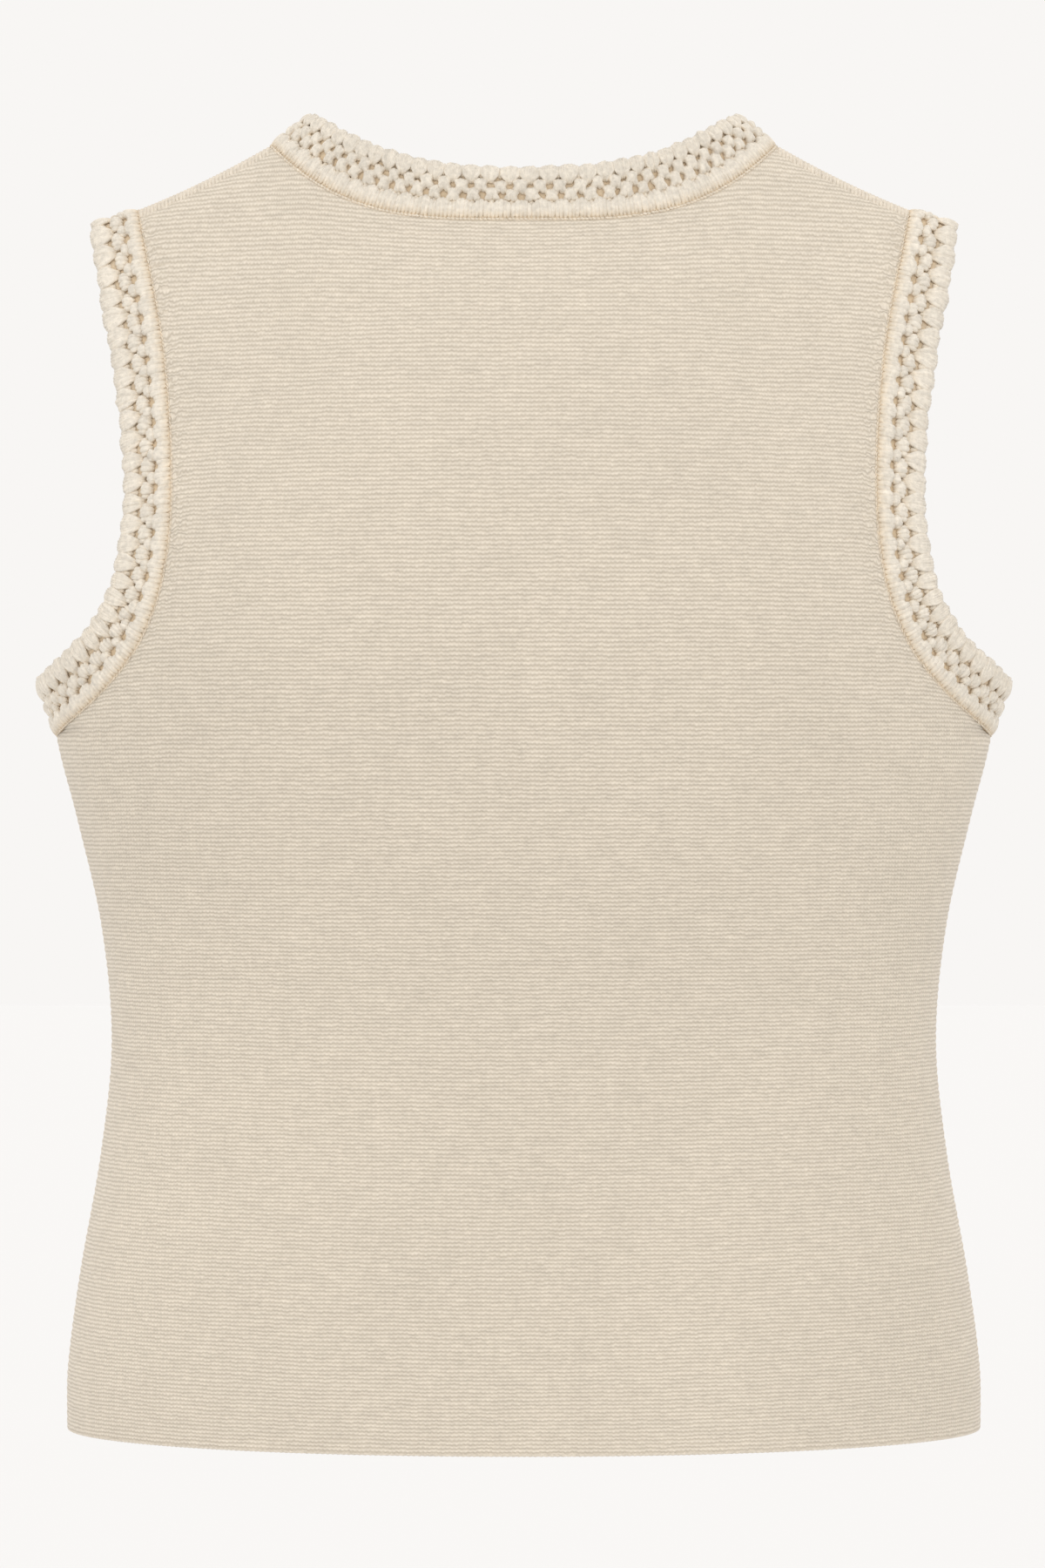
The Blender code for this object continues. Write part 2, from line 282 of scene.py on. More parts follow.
# Seams and hem. Margin is how far a seam's stitches keep from its ends.
SHOULDER_TICK = Strand(
    1.35, 1.35, ((0.0, -8.3, -0.75), (0.0, -5.5, -0.20), (0.0, -1.5, -0.20), (0.0, 3.0, -0.75))
)
SHOULDER_TICKS = 36
SHOULDER_MARGIN = 0.001
SIDE_LINK = Strand(
    0.5, 0.5, ((-0.20, 0.0, -0.25), (-0.08, 0.0, -0.05), (0.08, 0.0, -0.05), (0.20, 0.0, -0.25))
)
SIDE_LINKS = 86
SIDE_MARGIN = 0.002
FOLD_DROP = 0.012  # how far down from the seam the shoulder's fold is measured
FOLD_SAMPLES = 60
HEM_PLACES = 880
HEM_SIDES = 8
HEM_RADIUS = 0.00085
HEM_BEADS = (1.10, 0.88)  # girth of every other place, in hem radii

# How finely each edge is followed before its stitches are spaced out on it.
ARMHOLE_SAMPLES = 160
NECK_SAMPLES = 240
HEM_SAMPLES = 400

# The stage. A lamp's azimuth goes from the camera's side towards +X, and spread is how wide it looks.
LAMPS = table_of(
    "name azimuth elevation strength spread",
    ("key", -24, 34, 0.55, 60),
    ("fill", 38, 16, 0.40, 90),
    ("back", 158, 38, 0.55, 70),
    ("back_fill", -150, 20, 0.35, 90),
)
FLOOR_Z = -1.35
FLOOR_HALF = 30.0
CAMERA_PLACE = (-0.0005, -2.4, -0.2377)
CAMERA_LENS = 147.7
CAMERA_SENSOR = 36.0
CAMERA_REACH = 60.0


def along(table, column, place):
    """Reads a column of a table at one place or many, with a smooth curve through its rows."""
    places = np.array([row[0] for row in table])
    values = np.array([getattr(row, column) for row in table])
    rows = np.arange(len(table))
    before, after = np.maximum(rows - 1, 0), np.minimum(rows + 1, len(table) - 1)
    slopes = (values[after] - values[before]) / (places[after] - places[before])
    place = np.clip(place, places[0], places[-1])
    i = np.clip(np.searchsorted(places, place) - 1, 0, len(table) - 2)
    step = places[i + 1] - places[i]
    t = (place - places[i]) / step
    return (
        values[i] * (1 + 2 * t) * (1 - t) ** 2
        + slopes[i] * step * t * (1 - t) ** 2
        + values[i + 1] * t * t * (3 - 2 * t)
        + slopes[i + 1] * step * t * t * (t - 1)
    )


def shoulder_height(x):
    """Height of the shoulder line at x, and inside the neck of the smooth crown that it would run on to."""
    length = SHOULDER_HALF - NECK_HALF
    slope = SHOULDER_DROP / length
    inwards = NECK_HALF - np.abs(x)
    share = np.clip(-inwards / length, 0, 1)
    crown = slope * inwards * (1 - inwards / (2 * NECK_HALF))
    seam = slope * inwards - 4 * SHOULDER_SAG * share * (1 - share)
    return np.where(inwards > 0, crown, seam)


def depth_squared(panel, x, z):
    """The square of how far a panel stands out at x and z."""
    side = 1 - (x / along(RINGS, "half_width", z)) ** 2
    down = np.minimum(shoulder_height(x) - z, panel.rounding)
    share = down / panel.rounding
    arch = (along(RINGS, panel.depth_column, z) * np.sin(math.pi / 2 * share)) ** 2
    fold = 2 * FOLD_RADIUS * down * (1 - share) ** 2
    return side * (arch + fold)


def surface(panel, x, z, gap=SEAM_GAP / 2):
    """Points of a panel's outer surface at x and z, at least the gap from the side seams' plane."""
    x, z = np.broadcast_arrays(np.asarray(x, float), np.asarray(z, float))
    depth = np.sqrt(np.maximum(depth_squared(panel, x, z), 0))
    return np.stack([x, panel.facing * np.maximum(depth, gap), z], axis=-1)


def unit(vectors):
    return vectors / np.linalg.norm(vectors, axis=-1, keepdims=True)


def outward(panel, points, step=1e-5):
    """The surface's outward normals, from how its squared depth changes."""
    x, y, z = np.moveaxis(points, -1, 0)
    by_x = depth_squared(panel, x + step, z) - depth_squared(panel, x - step, z)
    by_z = depth_squared(panel, x, z + step) - depth_squared(panel, x, z - step)
    return unit(np.stack([-by_x / (2 * step), 2 * y, -by_z / (2 * step)], axis=-1))


def armhole_x(panel, z):
    """Half the panel's width from armhole to armhole at z."""
    share = np.clip((z - UNDERARM_Z) / ARMHOLE_HEIGHT, 0, 1)
    return along(ARMHOLE, "half_width", z) - panel.armhole_scoop * np.sin(math.pi * share) ** 2


def from_armhole(panel, points):
    """How far in from the armhole's edge points are."""
    return np.clip(armhole_x(panel, points[..., 2]) - np.abs(points[..., 0]), 0, None)


def neck_height(panel, x):
    """Height of the neck's seam edge at x, carried on level past the shoulder."""
    return -panel.neck_drop * (1 - np.minimum(np.abs(x) / NECK_HALF, 1) ** panel.neck_power)


def top_height(panel, x):
    """Height of a panel's top edge: the neck's curve, then the shoulder seam."""
    return np.where(np.abs(x) >= NECK_HALF, shoulder_height(x), neck_height(panel, x))


def edge_angle(half_width, z):
    """How far round the body, from its middle, a place is that lies this far out at z."""
    return np.arcsin(np.minimum(half_width / along(RINGS, "half_width", z), 1))


# How far round the shoulder's tip is, and how far out to it the neck's end is.
TIP_ANGLE = float(edge_angle(SHOULDER_HALF, -SHOULDER_DROP))
NECK_SHARE = float(edge_angle(NECK_HALF, 0)) / TIP_ANGLE


def body_point(panel, share, z):
    """Points below the underarm, at a share of the way from the middle to the side seam."""
    return surface(panel, along(RINGS, "half_width", z) * np.sin(share * math.pi / 2), z)


def yoke_point(panel, share, rise):
    """Points above the underarm: share goes from the middle to the armhole, rise up to the top edge."""
    edge_z = UNDERARM_Z + rise * ARMHOLE_HEIGHT
    top_x = along(RINGS, "half_width", 0) * np.sin(share * TIP_ANGLE)
    z = UNDERARM_Z + rise * (top_height(panel, top_x) - UNDERARM_Z)
    at_edge = edge_angle(armhole_x(panel, edge_z), edge_z)
    inside = TIP_ANGLE + (math.pi / 2 - TIP_ANGLE) * (1 - rise) ** 4
    angle = share * (at_edge + (1 - share**2) * (inside - at_edge))
    return surface(panel, along(RINGS, "half_width", z) * np.sin(angle), z)


def panel_shares():
    """Shares from the left side to the right, closer together where the neck turns into the shoulder."""
    neck = NECK_SHARE * np.sin(math.pi / 2 * np.arange(NECK_COLUMNS) / NECK_COLUMNS)
    shoulder = NECK_SHARE + (1 - NECK_SHARE) * np.arange(SHOULDER_COLUMNS + 1) / SHOULDER_COLUMNS
    half = np.concatenate([neck, shoulder[:-1], [1 - EDGE_SHARE, 1]])
    return np.concatenate([-half[:0:-1], half])


def panel_points(panel):
    """A panel's surface as rows of points from the hem up, each row from the left side to the right."""
    shares = panel_shares()[None, :]
    heights = HEM_Z + (UNDERARM_Z - HEM_Z) * np.arange(BODY_ROWS) / BODY_ROWS
    heights = np.insert(heights, 1, HEM_Z + EDGE_ROW)[:, None]
    rises = np.sin(math.pi / 2 * np.arange(YOKE_ROWS + 1)[:, None] / YOKE_ROWS)
    body = body_point(panel, shares, heights)
    yoke = yoke_point(panel, shares, rises)
    return np.concatenate([body, yoke])


def creased(panel, points, fullness):
    """The points moved out or in by the soft creases, which die away at the seams."""
    x, z = points[..., 0] * -panel.facing, points[..., 2]
    height = np.zeros_like(x)
    for crease in panel.creases:
        angle = math.radians(crease.angle)
        right, up = x - crease.across, z - crease.up
        lengthwise = (right * math.cos(angle) + up * math.sin(angle)) / (crease.length / 2)
        bow = CREASE_BOW * crease.length * (1 - lengthwise**2)
        sideways = (up * math.cos(angle) - right * math.sin(angle) - bow) / (crease.width / 2)
        height += crease.depth * np.exp(-(lengthwise**2) - sideways**2)
    side = 1 - np.abs(panel_shares()[None, :]) ** 6
    to_top = np.clip((top_height(panel, points[..., 0]) - z) / CREASE_TOP_FADE, 0, 1)
    to_hem = np.clip((z - HEM_Z) / CREASE_HEM_FADE, 0, 1)
    fade = side * to_top * (CREASE_AT_HEM + (1 - CREASE_AT_HEM) * to_hem)
    return points + outward(panel, points) * (height * fade * fullness)[..., None]


def courses_up(z):
    """Height as the courses count it: metres of evenly knitted cloth from the hem up."""
    heights = np.linspace(HEM_Z - 0.01, 0.02, COURSE_SAMPLES)
    steps = np.diff(heights) / along(COURSE_SPREAD, "spread", heights[1:])
    return np.interp(z, heights, np.concatenate([[0], np.cumsum(steps)]))


def knit_coordinates(panel, points):
    """Where each point lies in the knitting: metres along its course and metres up through the courses.

    Courses run level round the body. They dip under the neck, and droop beside the armholes.
    """
    steps = np.linalg.norm(np.diff(points, axis=1), axis=-1)
    along_course = np.concatenate([np.zeros_like(points[:, :1, 0]), np.cumsum(steps, axis=1)], axis=1)
    along_course -= along_course[:, along_course.shape[1] // 2][:, None]
    x, z = points[..., 0], points[..., 2]
    over_fold = FOLD_EXTRA * np.exp(-np.clip(shoulder_height(x) - z, 0, None) / FOLD_FADE)
    under_neck = np.clip(neck_height(panel, x) - z, 0, None)
    middle = np.clip(1 - (x / NECK_DIP_HALF) ** 2, 0, 1)
    dip = NECK_DIP * middle * np.exp(-under_neck / NECK_DIP_FADE)
    droop = ARMHOLE_DROOP * np.exp(-from_armhole(panel, points) / ARMHOLE_DROOP_FADE) * (z > UNDERARM_Z)
    return along_course, courses_up(z + over_fold + dip + droop)


def crinkled_edge(panel, points):
    """How crinkled the knitting is: most beside the upper armhole, where the band pulls it in."""
    raised = np.clip((points[..., 2] - UNDERARM_Z - CRINKLE_START) / CRINKLE_RISE, 0, 1)
    return raised * np.exp(-((from_armhole(panel, points) / CRINKLE_REACH) ** 2))


def new_object(name, data):
    obj = bpy.data.objects.new(name, data)
    bpy.context.scene.collection.objects.link(obj)
    return obj


def piece_of_mesh(name, mesh, material):
    """Makes a mesh a piece of the vest that rides with it."""
    mesh.name = name
    mesh.materials.clear()
    mesh.materials.append(material)
    mesh.shade_smooth()
    obj = new_object(name, mesh)
    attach(obj, "root")
    return obj


@contextmanager
def editing(mesh):
    """Opens a mesh for bmesh operators and writes it back."""
    bm = bmesh.new()
    bm.from_mesh(mesh)
    yield bm
    bm.to_mesh(mesh)
    bm.free()


def read(items, key, kind=np.int32, width=1):
    """One value, or a row of them, for each of a mesh's items."""
    values = np.empty(len(items) * width, kind)
    items.foreach_get(key, values)
    return values


def coordinates(mesh):
    return read(mesh.vertices, "co", np.float32, 3).reshape(-1, 3).astype(float)


def set_coordinates(mesh, points):
    mesh.vertices.foreach_set("co", np.ascontiguousarray(points, np.float32).ravel())
    mesh.update()


def set_uv(mesh, name, at_vertices):
    """Gives the mesh a UV map with the same place for a vertex in each of its faces."""
    layer = mesh.uv_layers.new(name=name)
    corners = read(mesh.loops, "vertex_index")
    layer.data.foreach_set("uv", np.ascontiguousarray(at_vertices[corners], np.float32).ravel())


def set_attribute(mesh, name, values):
    layer = mesh.attributes.new(name, "FLOAT", "POINT")
    layer.data.foreach_set("value", np.ascontiguousarray(values, np.float32))


def grid_mesh(columns, rows, flipped=False):
    """A grid of faces, and the column and row of each of its vertices."""
    mesh = bpy.data.meshes.new("grid")
    with editing(mesh) as bm:
        bmesh.ops.create_grid(bm, x_segments=columns, y_segments=rows, size=0.5)
        if flipped:
            bmesh.ops.reverse_faces(bm, faces=bm.faces)
    places = coordinates(mesh)
    column = np.rint((places[:, 0] + 0.5) * columns).astype(int)
    row = np.rint((places[:, 1] + 0.5) * rows).astype(int)
    return mesh, column, row


def ring_mesh(points, **layers):
    """A closed ring of closed sections: points[place round the ring, place round the section].

    Each layer has one value for each point, kept as an attribute.
    """
    count, around = points.shape[:2]
    mesh, column, row = grid_mesh(count, around)
    places = (column % count, row % around)
    set_coordinates(mesh, points[places])
    for layer, values in layers.items():
        set_attribute(mesh, layer, values[places])
    with editing(mesh) as bm:
        bmesh.ops.remove_doubles(bm, verts=bm.verts, dist=1e-6)
        bmesh.ops.recalc_face_normals(bm, faces=bm.faces)
    return mesh


class NodeBook:
    """Adds shader nodes to a material, so that a pattern reads as a sum in code."""

    def __init__(self, name):
        self.material = bpy.data.materials.new(name)
        self.material.use_nodes = True
        self.tree = self.material.node_tree
        self.shader = self.tree.nodes["Principled BSDF"]

    def feed(self, node, inputs):
        """Links or sets a node's inputs, by their names or numbers."""
        for key, value in inputs.items():
            if isinstance(value, bpy.types.NodeSocket):
                self.tree.links.new(value, node.inputs[key])
            else:
                node.inputs[key].default_value = value

    def put(self, kind, inputs, **settings):
        node = self.tree.nodes.new(kind)
        for key, value in settings.items():
            setattr(node, key, value)
        self.feed(node, inputs)
        return node

    def math(self, operation, *values):
        return self.put("ShaderNodeMath", dict(enumerate(values)), operation=operation).outputs[0]

    def scaled(self, value, by, plus=0.0):
        return self.math("MULTIPLY_ADD", value, by, plus)

    def wave(self, turns):
        """A smooth wave from 0 to 1 and back for each turn."""
        return self.scaled(self.math("COSINE", self.scaled(turns, math.tau)), 0.5, 0.5)

    def uv(self, name):
        node = self.put("ShaderNodeUVMap", {}, uv_map=name)
        split = self.put("ShaderNodeSeparateXYZ", {0: node.outputs[0]})
        return split.outputs[0], split.outputs[1]

    def attribute(self, name):
        return self.put("ShaderNodeAttribute", {}, attribute_name=name).outputs["Fac"]

    def position(self):
        return self.put("ShaderNodeTexCoord", {}).outputs["Object"]

    def noise(self, place, scale, detail, roughness):
        inputs = {"Vector": place, "Scale": scale, "Detail": detail, "Roughness": roughness}
        return self.put("ShaderNodeTexNoise", inputs).outputs["Fac"]

    def mix(self, share, first, second):
        inputs = {"Factor": share, "A": first, "B": second}
        return self.put("ShaderNodeMix", inputs, data_type="RGBA").outputs["Result"]

    def brightened(self, colour, factor):
        return self.put("ShaderNodeHueSaturation", {"Value": factor, "Color": colour}).outputs["Color"]

    def mottled(self, colour, place, mottle):
        noise = self.noise(place, *mottle.noise)
        return self.brightened(colour, self.range(noise, *mottle.span, *mottle.brightness))

    def range(self, value, low, high, to_low=0.0, to_high=1.0):
        inputs = dict(enumerate((value, low, high, to_low, to_high)))
        return self.put("ShaderNodeMapRange", inputs).outputs["Result"]

    def bump(self, height, distance, strength):
        inputs = {"Strength": strength, "Distance": distance, "Height": height}
        return self.put("ShaderNodeBump", inputs).outputs["Normal"]

    def finish(self, colour, roughness, specular=0.25, sheen=0.0, **inputs):
        self.feed(self.shader, {"Base Color": colour, "Roughness": roughness, **inputs})
        self.shader.inputs["Sheen Weight"].default_value = sheen
        self.shader.inputs["Specular IOR Level"].default_value = specular
        return self.material


def rgba(colour):
    return (*colour, 1.0)


def knit_material(vest):
    """Fine purl knit: level rows of small rounded loops, which shiver most where they are crinkled, with
    painted light on the loops and painted shade between the rows.
    """
    book = NodeBook("fine_knit")
    along_course, up = book.uv("knit")
    place = book.position()
    drift = book.math("SUBTRACT", book.noise(place, scale=34.0, detail=2.0, roughness=0.5), 0.5)
    shiver = book.math("SUBTRACT", book.noise(place, scale=330.0, detail=1.0, roughness=0.5), 0.5)
    wales = book.scaled(drift, WALE_DRIFT, book.math("DIVIDE", along_course, vest.wale))
    arcs = book.math("COSINE", book.scaled(wales, math.tau))
    courses = book.scaled(arcs, LOOP_ARCH, book.math("DIVIDE", up, vest.course))
    courses = book.scaled(drift, COURSE_DRIFT, courses)
    shivering = book.scaled(book.attribute("crinkle"), CRINKLED_SHIVER, COURSE_SHIVER)
    courses = book.scaled(shiver, shivering, courses)
    row = book.math("POWER", book.wave(courses), ROUNDNESS)
    loops = book.math("MULTIPLY", row, book.scaled(arcs, LOOP_DIP, 1 - LOOP_DIP))
    fuzz = book.noise(place, scale=1700.0, detail=3.0, roughness=0.65)
    run = book.put("ShaderNodeCombineXYZ", {0: along_course, 1: book.scaled(up, STREAK_LENGTH)}).outputs[0]
    # painted shade between the rows and painted light on the loops' tops, following the loops' relief
    colour = book.mix(loops, rgba(vest.knit_shade), rgba(vest.knit_light))
    for at, mottle in ((place, KNIT_PAINTED_SOFT_SHADE), (place, KNIT_BLOTCH), (run, KNIT_STREAK), (place, KNIT_GRAIN)):
        colour = book.mottled(colour, at, mottle)
    normal = book.bump(book.scaled(fuzz, KNIT_FUZZ, loops), distance=vest.course * 0.25, strength=0.8)
    return book.finish(colour, roughness=0.88, sheen=0.15, Normal=normal)


def yarn_material(name, light, shade, low, high, turns, ridges):
    """Thick yarn: ivory where it stands proud, painted tan shade deep down, with plies twisted along it."""
    book = NodeBook(name)
    place = book.position()
    around, lengthwise = book.uv("strand")
    plies = book.wave(book.scaled(lengthwise, turns, book.scaled(around, ridges)))
    fuzz = book.noise(place, scale=1500.0, detail=3.0, roughness=0.65)
    crinkle = book.noise(place, *YARN_CRINKLE.noise)
    height = book.scaled(plies, PLY_HEIGHT, book.scaled(crinkle, CRINKLE_HEIGHT, fuzz))
    # painted shade by the height attribute: tan where the yarn lies deep, ivory where it stands proud
    lift = book.range(book.attribute("height"), low, high)
    colour = book.mix(book.math("POWER", lift, ROUNDNESS), rgba(shade), rgba(light))
    colour = book.brightened(colour, book.attribute("tone"))
    # YARN_GRAIN is random tone; YARN_CRINKLE is painted light, brighter where its noise raises the yarn in
    # the bump
    for mottle in (YARN_GRAIN, YARN_CRINKLE):
        colour = book.mottled(colour, place, mottle)
    # painted light on the plies' ridges and painted shade in their grooves, from the same wave as their bump
    colour = book.brightened(colour, book.scaled(plies, by=0.05, plus=0.98))
    normal = book.bump(height, distance=0.00036, strength=0.85)
    return book.finish(colour, roughness=0.86, sheen=0.15, Normal=normal)


def backing_material(vest):
    """The inside of a band, with painted tan shade where it shows through the holes."""
    book = NodeBook("crochet_inside")
    place = book.position()
    height = book.attribute("height")
    # painted shade: darker the deeper the backing lies under the strands, lighter again on its inner face
    front = book.range(height, low=-0.65, high=0.5)
    inner = book.range(height, low=-1.9, high=-2.8)
    lift = book.math("MAXIMUM", book.scaled(front, by=0.80), inner)
    colour = book.mix(lift, rgba(vest.yarn_shade), rgba(vest.yarn_light))
    # painted light: brighter where the same noise raises the fibres in the bump
    colour = book.mottled(colour, place, INSIDE_FIBRES)
    normal = book.bump(book.noise(place, *INSIDE_FIBRES.noise), distance=0.0004, strength=0.7)
    return book.finish(colour, roughness=0.9, sheen=0.1, Normal=normal)


def crochet_materials(vest):
    """The yarn's finishes, made once for all the bands."""
    if "crochet_yarn" not in bpy.data.materials:
        yarn, shade = vest.yarn_light, vest.yarn_shade
        yarn_material("crochet_yarn", yarn, shade, low=-1.2, high=1.6, turns=1.5, ridges=2)
        yarn_material("crochet_chain", yarn, shade, low=-1.5, high=0.6, turns=1.0, ridges=1)
        backing_material(vest)
    return [bpy.data.materials["crochet_" + name] for name in ("yarn", "chain", "inside")]


def base_strands(top, scallop, valley):
    """The first row: upright strands, fine at the seam, that swell into round tops with valleys between."""
    strands = []
    for i in range(5):
        x = (i - 2) / 5
        aside = (2.2 * x) ** 2
        places = (
            (x + 0.04, -0.4, -0.35),
            (x + 0.02, 0.20 * top, 0.30),
            (0.98 * x, 0.54 * top, 0.75 - 0.15 * aside),
            (0.88 * x, 0.86 * top - 0.6 * scallop * aside, 0.95 - 0.85 * aside),
            (0.76 * x, top - scallop * aside, 0.15 - 0.60 * aside),
        )
        strands.append(Strand(1.45, 2.55, places))
    between = (
        (0.5, -0.3, -0.7),
        (0.5, 0.3 * valley, -0.15),
        (0.5, 0.7 * valley, -0.15),
        (0.5, valley, -0.4),
    )
    return [*strands, Strand(1.9, 2.4, between)]


def knot_strands(low, high):
    """A knot of the net between the holes: four strands that meet in its middle and part at its corners."""
    middle = (low + high) / 2
    strands = []
    for side in (-1, 1):
        bowed = ((0.46, low - 1.0, -0.5), (0.10, middle, 0.75), (0.43, high + 0.6, -0.3))
        crossed = ((0.20, low - 1.1, -0.6), (0.05, middle + 0.2, 1.05), (-0.22, high + 0.5, -0.1))
        strands += [moved(Strand(2.30, 2.40, bowed), 0, side), moved(Strand(2.35, 2.55, crossed), 0, side)]
    return strands


def puff_strands(low, high, spread):
    """A round puff of strands side by side, its outer ones lower."""
    middle = (low + high) / 2
    inner = (
        (0.06, low - 1.3, -0.7),
        (0.07, low + 0.6, 0.50),
        (0.08, middle + 0.6, 1.05),
        (0.07, high + 0.2, 0.10),
    )
    outer = (
        (0.15, low - 0.8, -0.8),
        (0.20, low + 0.8, 0.15),
        (0.22, middle + 0.5, 0.55),
        (0.19, high - 0.4, -0.2),
    )
    strands = []
    for side in (-spread, spread):
        strands += [moved(Strand(1.7, 2.0, inner), 0, side), moved(Strand(1.55, 1.8, outer), 0, side)]
    return strands


def fan_strands(low, waist, stem):
    """A shell of the last row, whose strands spread from one stem and fold over the scalloped edge."""
    strands = []
    for x in (0.0, 0.15, -0.15, 0.29, -0.29, 0.42, -0.42):
        edge = BAND_REACH - 0.9 - 1.1 * (x / 0.45) ** 2
        places = (
            (0.95 * stem * x, low, -0.50),
            (stem * x, waist, 0.50),
            (0.92 * x, 0.5 * waist + 0.5 * edge, 0.85),
            (x, edge - 0.1, -0.10),
            (0.97 * x, edge - 0.6, -1.60),
        )
        strands.append(Strand(1.20, 1.75, places))
    edge = BAND_REACH - 2.2
    between = (
        (0.5, waist + 0.9, -0.9),
        (0.5, waist + 1.8, -0.35),
        (0.5, edge - 0.3, -0.5),
        (0.5, edge - 0.2, -1.4),
    )
    return [*strands, Strand(2.0, 2.3, between)]


def moved(strand, shift, side=1):
    """The strand moved along the band by a shift in stitches, or mirrored and spread there first."""
    return strand._replace(places=[(side * x + shift, y, z) for x, y, z in strand.places])


def crochet_row(strands, shift, turn, sway):
    return CrochetRow([moved(strand, shift) for strand in strands], turn, sway)


def neck_rows():
    """The neck's base row, two rows of knots, and shells."""
    return (
        crochet_row(base_strands(top=8.5, scallop=2.0, valley=9.3), shift=0.0, turn=0.03, sway=0.4),
        crochet_row(knot_strands(low=8.0, high=12.7), shift=0.50, turn=0.12, sway=1.0),
        crochet_row(knot_strands(low=11.6, high=16.1), shift=0.07, turn=0.12, sway=1.0),
        crochet_row(fan_strands(low=14.2, waist=16.0, stem=0.36), shift=0.60, turn=0.03, sway=0.6),
    )


def armhole_rows():
    """The armhole's base row, two rows of puffs, and shells."""
    return (
        crochet_row(base_strands(top=7.4, scallop=3.0, valley=6.0), shift=0.5, turn=0.03, sway=0.4),
        crochet_row(puff_strands(low=6.8, high=10.2, spread=0.80), shift=0.50, turn=0.10, sway=1.0),
        crochet_row(puff_strands(low=8.9, high=13.5, spread=1.35), shift=0.0, turn=0.10, sway=1.0),
        crochet_row(fan_strands(low=10.8, waist=14.2, stem=0.50), shift=0.5, turn=0.03, sway=0.6),
    )


def chain_row(girth):
    """The light chain in the groove at a band's seam, each link a little aslant."""
    places = ((-0.12, 0.1, -0.1), (-0.04, -0.3, 0.12), (0.04, -0.1, 0.12), (0.12, 0.3, -0.1))
    link = Strand(girth, girth, places)
    links = [moved(link, start) for start in np.arange(CHAIN_LINKS) / CHAIN_LINKS]
    return CrochetRow(links, turn=0.0, sway=0.3)


def through(places, share):
    """Points at shares of a smooth path through the places, and its direction there."""
    places = np.asarray(places, float)
    padded = np.concatenate([2 * places[:1] - places[1:2], places, 2 * places[-1:] - places[-2:-1]])
    spans = len(places) - 1
    i = np.minimum((share * spans).astype(int), spans - 1)
    t = (share * spans - i)[:, None]
    a, b, c, d = (padded[i + k] for k in range(4))
    point = b + 0.5 * t * (c - a + t * (2 * a - 5 * b + 4 * c - d + t * (3 * (b - c) + d - a)))
    direction = 0.5 * (c - a) + t * (2 * a - 5 * b + 4 * c - d) + 1.5 * t * t * (3 * (b - c) + d - a)
    return point, unit(direction)


def drawn_strand(strand, sphere):
    """Draws a unit sphere's points out along the strand's path, full in its middle and fine at its ends."""
    height = np.clip(sphere[:, 2], -1, 1)
    share = np.arccos(-height) / math.pi
    places = [(x * STITCH, y, z) for x, y, z in strand.places]
    point, direction = through(places, share)
    level = unit(np.cross(np.subtract(places[-1], places[0]), (0.0, 0.0, 1.0)))
    sideways = unit(level - direction * np.sum(direction * level, axis=-1, keepdims=True))
    up = np.cross(sideways, direction)
    girth = np.hypot(sphere[:, 0], sphere[:, 1])
    thick = STRAND_RADIUS * (strand.start + (strand.end - strand.start) * share)
    swell = np.where(girth > 1e-6, np.maximum(girth, 1e-6) ** -STRAND_TAPER, 0) * thick
    out = sideways * (sphere[:, 0] * swell)[:, None] + up * (sphere[:, 1] * swell)[:, None]
    return (point + out) * MM


def stitch_mesh(strands):
    """The strands of one stitch as closed, numbered spindles, with a UV map round and along them."""
    mesh = bpy.data.meshes.new("stitch")
    with editing(mesh) as bm:
        bm.loops.layers.uv.new("strand")
        number = bm.verts.layers.int.new("number")
        for i, strand in enumerate(strands):
            made = bmesh.ops.create_uvsphere(
                bm, u_segments=STRAND_SIDES, v_segments=STRAND_RINGS, radius=1, calc_uvs=True
            )["verts"]
            points = drawn_strand(strand, np.array([vertex.co for vertex in made]))
            for vertex, point in zip(made, points):
                vertex.co = point
                vertex[number] = i
    return mesh


def arrayed(mesh, count):
    """The stitch repeated along +X."""
    holder = new_object("stitches", mesh)
    array = holder.modifiers.new("Stitches", "ARRAY")
    array.count = count
    array.use_relative_offset = False
    array.use_constant_offset = True
    array.constant_offset_displace = (STITCH * MM, 0, 0)
    graph = bpy.context.evaluated_depsgraph_get()
    made = bpy.data.meshes.new_from_object(holder.evaluated_get(graph))
    bpy.data.objects.remove(holder)
    bpy.data.meshes.remove(mesh)
    return made


# A place along a band: its point on the edge, which ways the band goes and faces, its width and its flare.
BandFrames = namedtuple("BandFrames", "point away normal width flare")


def smoothed_round(values):
    """Each row averaged with those within half a stitch of it, round a closed loop."""
    reach = FRAMES_PER_STITCH // 2
    return sum(np.roll(values, k, axis=0) for k in range(-reach, reach + 1)) / (2 * reach + 1)


def travelled(points):
    """How far along a line each of its points is."""
    return np.concatenate([[0], np.cumsum(np.linalg.norm(np.diff(points, axis=0), axis=1))])


def evenly_round(count, *columns):
    """Evenly spaced points of a closed line, and of whatever else is given for each of its points."""
    closed = [np.concatenate([values, values[:1]]) for values in columns]
    ends = travelled(closed[0])
    at = np.arange(count) * ends[-1] / count
    return [np.stack([np.interp(at, ends, values[:, k]) for k in range(3)], axis=-1) for values in closed]


def heading(points):
    """Which way a closed line goes at each of its points."""
    return unit(np.roll(points, -1, axis=0) - np.roll(points, 1, axis=0))


